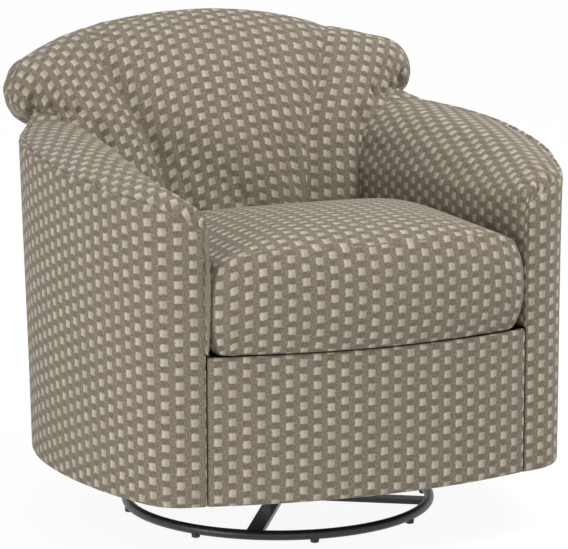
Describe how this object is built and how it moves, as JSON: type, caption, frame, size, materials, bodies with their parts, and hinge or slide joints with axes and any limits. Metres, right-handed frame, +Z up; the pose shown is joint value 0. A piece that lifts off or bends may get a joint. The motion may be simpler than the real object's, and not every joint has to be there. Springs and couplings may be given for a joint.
{
  "type": "swivel glider chair",
  "caption": "Upholstered barrel chair with rolled back and loose-look seat cushion, hung on swinging links over a swivelling black ring base.",
  "frame": {"origin": "on the floor, on the swivel axis, under the middle of the chair", "axes": "+Z up, -Y towards the front of the seat, +X towards the right arm seen from the front"},
  "size_m": [0.845, 0.84, 0.778],
  "materials": {
    "cover_fabric": "woven, with small staggered blocks",
    "hardwood": "sawn, unfinished",
    "webbing": "woven strap",
    "deck_felt": "felted pad",
    "dust_cloth": "non-woven cloth",
    "black_steel": "satin black powder coat",
    "bright_steel": "zinc plated",
    "glide_plastic": "moulded",
    "bumper_rubber": "moulded",
    "nylon": "natural",
    "bronze": "sintered"
  },
  "bodies": {
    "base": {"base_ring": "black_steel", "cross_bar_long": "black_steel", "cross_bar_short": "black_steel", "hub_plate": "black_steel", "floor_glides": "glide_plastic", "lower_race": "bright_steel", "ball_cage": "nylon", "bearing_balls": "bright_steel", "spindle": "bright_steel", "spindle_nut": "bright_steel"},
    "carriage": {"upper_race": "bright_steel", "swivel_plate": "black_steel", "swivel_bush": "bronze", "carriage_beam_front": "black_steel", "carriage_beam_rear": "black_steel", "hanger_plate_left": "black_steel", "hanger_plate_right": "black_steel", "upper_pivot_pins": "bright_steel", "stop_bumpers": "bumper_rubber"},
    "front_links": {"front_link_left": "black_steel", "front_link_right": "black_steel", "front_link_bushes": "nylon"},
    "rear_links": {"rear_link_left": "black_steel", "rear_link_right": "black_steel", "rear_link_bushes": "nylon"},
    "chair_body": {"arm_pad_left": "cover_fabric", "arm_pad_right": "cover_fabric", "arm_post_front_left": "hardwood", "arm_post_front_right": "hardwood", "arm_post_rear_left": "hardwood", "arm_post_rear_right": "hardwood", "arm_rail_left": "hardwood", "arm_rail_right": "hardwood", "back_pad": "cover_fabric", "back_post_left": "hardwood", "back_post_right": "hardwood", "back_rail": "hardwood", "bottom_back_rail": "hardwood", "corner_blocks": "hardwood", "crest_rail": "hardwood", "cross_webbing": "webbing", "deck_pad": "deck_felt", "dust_cover": "dust_cloth", "front_border": "cover_fabric", "front_cleat": "hardwood", "front_rail": "hardwood", "long_webbing": "webbing", "lower_pivot_pins": "bright_steel", "mid_back_rail": "hardwood", "mounting_bolts": "bright_steel", "outside_back": "cover_fabric", "outside_panel_left": "cover_fabric", "outside_panel_right": "cover_fabric", "seat_cushion": "cover_fabric", "seat_rail_left": "black_steel", "seat_rail_right": "black_steel", "side_rail_left": "hardwood", "side_rail_right": "hardwood"}
  },
  "joints": [
    {"name": "swivel", "type": "hinge", "parent": "base", "child": "carriage", "pos_m": [0, 0, 0.04], "axis": [0, 0, 1], "continuous": true},
    {"name": "glide_swing", "type": "hinge", "parent": "carriage", "child": "front_links", "pos_m": [0, -0.075, 0.205], "axis": [1, 0, 0], "range_deg": [-25, 25]},
    {"name": "seat_hang", "type": "hinge", "parent": "front_links", "child": "chair_body", "pos_m": [0, -0.075, 0.085], "axis": [1, 0, 0], "range_deg": [-25, 25]},
    {"name": "rear_swing", "type": "hinge", "parent": "carriage", "child": "rear_links", "pos_m": [0, 0.075, 0.205], "axis": [1, 0, 0], "range_deg": [-25, 25]}
  ],
  "couplings": [
    {"joint": "seat_hang", "follows": "glide_swing", "ratio": -1},
    {"joint": "rear_swing", "follows": "glide_swing", "ratio": 1}
  ]
}
